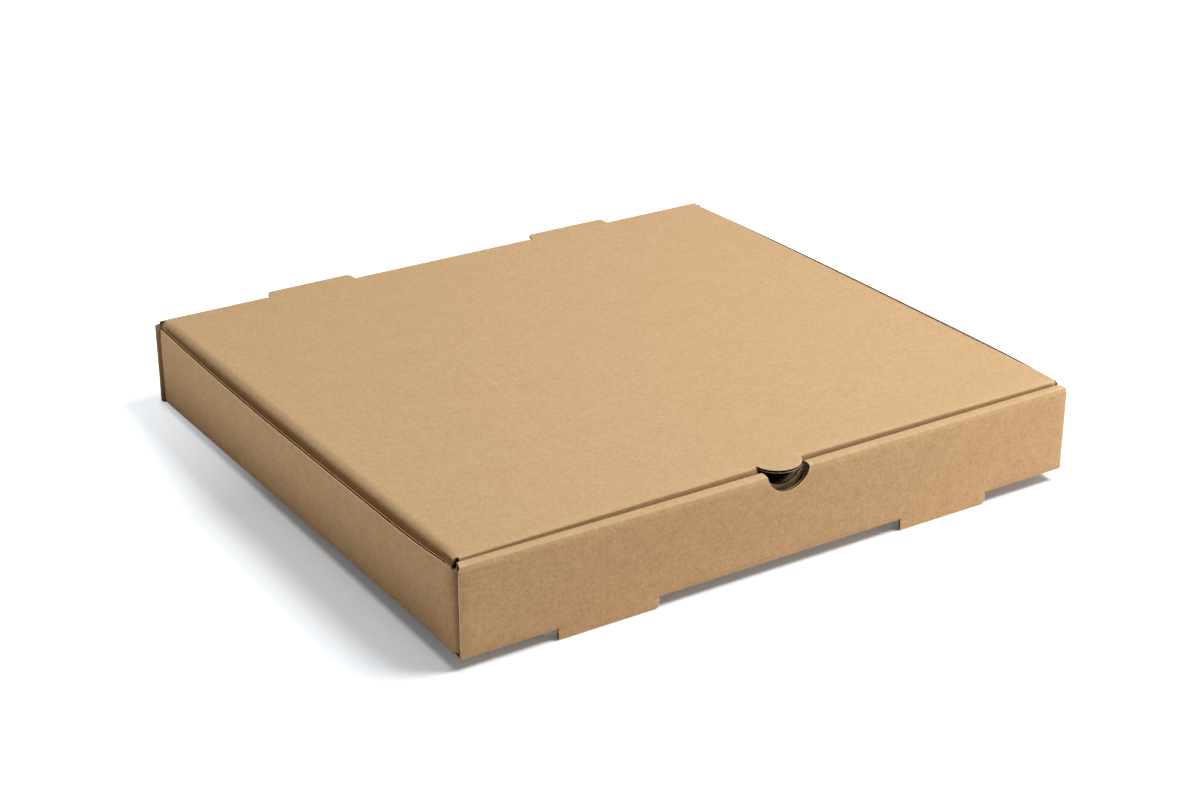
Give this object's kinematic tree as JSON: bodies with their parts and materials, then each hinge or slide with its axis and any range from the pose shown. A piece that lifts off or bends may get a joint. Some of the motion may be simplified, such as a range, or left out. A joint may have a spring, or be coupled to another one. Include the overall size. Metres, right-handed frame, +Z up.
{
  "type": "pizza box",
  "caption": "Shallow pizza box folded from brown corrugated board: rolled front wall with a thumb notch, short front feet, and a hinged lid whose flaps tuck inside the walls.",
  "frame": {"origin": "on the ground, below the middle of the tray", "axes": "+Z up, -Y towards the rolled front wall with the thumb notch, X along the lid's hinge"},
  "size_m": [0.33, 0.3124, 0.05],
  "materials": {
    "kraft_board": "matt brown kraft liner"
  },
  "bodies": {
    "tray": {"tray": "kraft_board"},
    "lid": {"lid": "kraft_board"}
  },
  "joints": [
    {"name": "lid_hinge", "type": "hinge", "parent": "tray", "child": "lid", "pos_m": [0, 0.1517, 0.0492], "axis": [-1, 0, 0], "range_deg": [0, 180]}
  ]
}
